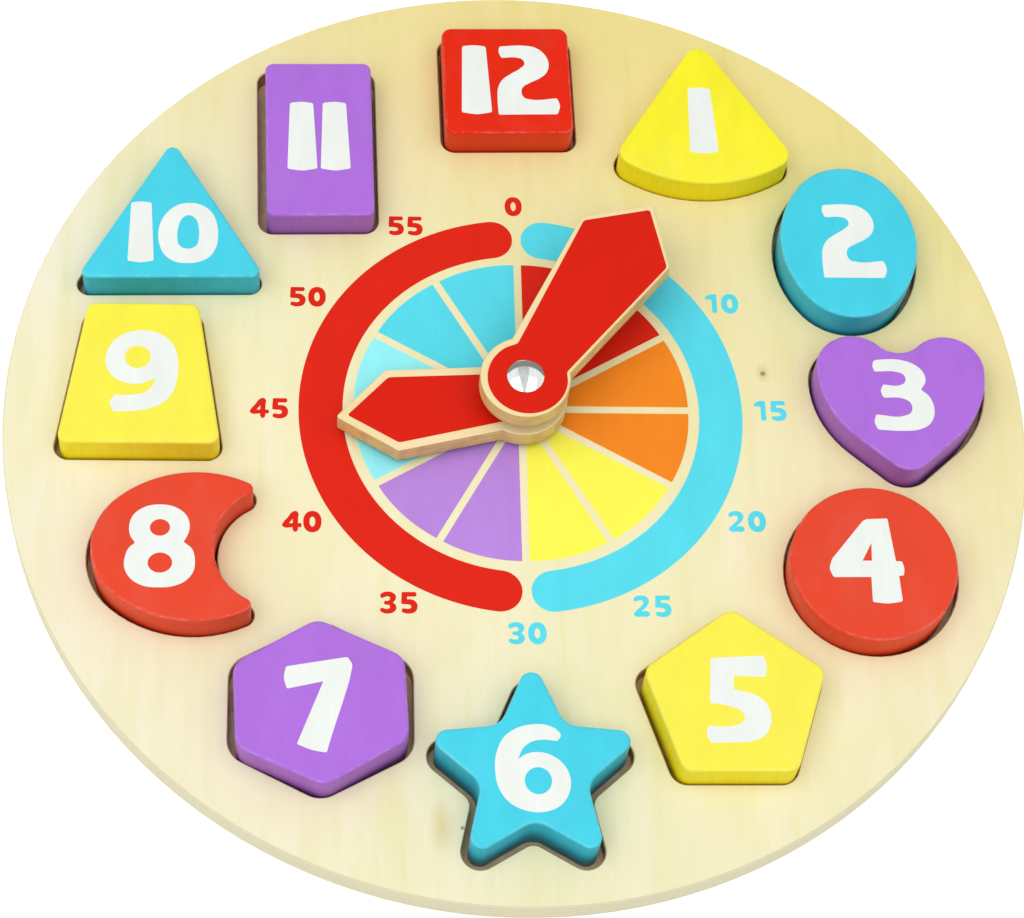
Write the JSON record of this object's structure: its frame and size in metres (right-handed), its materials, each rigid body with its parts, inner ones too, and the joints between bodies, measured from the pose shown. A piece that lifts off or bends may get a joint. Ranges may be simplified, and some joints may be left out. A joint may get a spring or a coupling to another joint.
{
  "type": "teaching clock",
  "caption": "Round wooden teaching clock with lift-out number blocks in shaped recesses, a printed dial and two hands turning freely on one rivet.",
  "frame": {"origin": "middle of the round board, on its back face", "axes": "+Z out of the dial, +Y towards twelve o'clock, +X towards three o'clock"},
  "size_m": [0.3, 0.3, 0.031],
  "materials": {
    "board_plywood": "pale plywood, clear matt lacquer",
    "yellow_paint": "satin paint on wood",
    "blue_paint": "satin paint on wood",
    "purple_paint": "satin paint on wood",
    "red_paint": "satin paint on wood",
    "hand_wood": "bare sawn wood, red paint on the top face",
    "spacer_wood": "bare turned wood",
    "polished_metal": "polished",
    "rear_metal": "satin"
  },
  "bodies": {
    "board": {"back_panel": "board_plywood", "face_panel": "board_plywood", "pivot_rivet": "polished_metal", "board_spacer": "spacer_wood", "hand_spacer": "spacer_wood", "rear_washer": "rear_metal", "rear_cap": "rear_metal"},
    "hour_hand": {"hour_hand": "hand_wood"},
    "minute_hand": {"minute_hand": "hand_wood"},
    "block_01_sector": {"block_01_sector": "yellow_paint"},
    "block_02_oval": {"block_02_oval": "blue_paint"},
    "block_03_heart": {"block_03_heart": "purple_paint"},
    "block_04_circle": {"block_04_circle": "red_paint"},
    "block_05_pentagon": {"block_05_pentagon": "yellow_paint"},
    "block_06_star": {"block_06_star": "blue_paint"},
    "block_07_hexagon": {"block_07_hexagon": "purple_paint"},
    "block_08_crescent": {"block_08_crescent": "red_paint"},
    "block_09_trapezoid": {"block_09_trapezoid": "yellow_paint"},
    "block_10_triangle": {"block_10_triangle": "blue_paint"},
    "block_11_rectangle": {"block_11_rectangle": "purple_paint"},
    "block_12_square": {"block_12_square": "red_paint"}
  },
  "joints": [
    {"name": "hour_hand_turn", "type": "hinge", "parent": "board", "child": "hour_hand", "pos_m": [0.00045, 0.00235, 0.012], "axis": [0, 0, 1], "continuous": true},
    {"name": "minute_hand_turn", "type": "hinge", "parent": "board", "child": "minute_hand", "pos_m": [0.00045, 0.00235, 0.023], "axis": [0, 0, 1], "continuous": true},
    {"name": "block_01_sector_lift", "type": "slide", "parent": "board", "child": "block_01_sector", "axis": [0, 0, 1], "range_m": [0, 0.025]},
    {"name": "block_02_oval_lift", "type": "slide", "parent": "board", "child": "block_02_oval", "axis": [0, 0, 1], "range_m": [0, 0.025]},
    {"name": "block_03_heart_lift", "type": "slide", "parent": "board", "child": "block_03_heart", "axis": [0, 0, 1], "range_m": [0, 0.025]},
    {"name": "block_04_circle_lift", "type": "slide", "parent": "board", "child": "block_04_circle", "axis": [0, 0, 1], "range_m": [0, 0.025]},
    {"name": "block_05_pentagon_lift", "type": "slide", "parent": "board", "child": "block_05_pentagon", "axis": [0, 0, 1], "range_m": [0, 0.025]},
    {"name": "block_06_star_lift", "type": "slide", "parent": "board", "child": "block_06_star", "axis": [0, 0, 1], "range_m": [0, 0.025]},
    {"name": "block_07_hexagon_lift", "type": "slide", "parent": "board", "child": "block_07_hexagon", "axis": [0, 0, 1], "range_m": [0, 0.025]},
    {"name": "block_08_crescent_lift", "type": "slide", "parent": "board", "child": "block_08_crescent", "axis": [0, 0, 1], "range_m": [0, 0.025]},
    {"name": "block_09_trapezoid_lift", "type": "slide", "parent": "board", "child": "block_09_trapezoid", "axis": [0, 0, 1], "range_m": [0, 0.025]},
    {"name": "block_10_triangle_lift", "type": "slide", "parent": "board", "child": "block_10_triangle", "axis": [0, 0, 1], "range_m": [0, 0.025]},
    {"name": "block_11_rectangle_lift", "type": "slide", "parent": "board", "child": "block_11_rectangle", "axis": [0, 0, 1], "range_m": [0, 0.025]},
    {"name": "block_12_square_lift", "type": "slide", "parent": "board", "child": "block_12_square", "axis": [0, 0, 1], "range_m": [0, 0.025]}
  ]
}
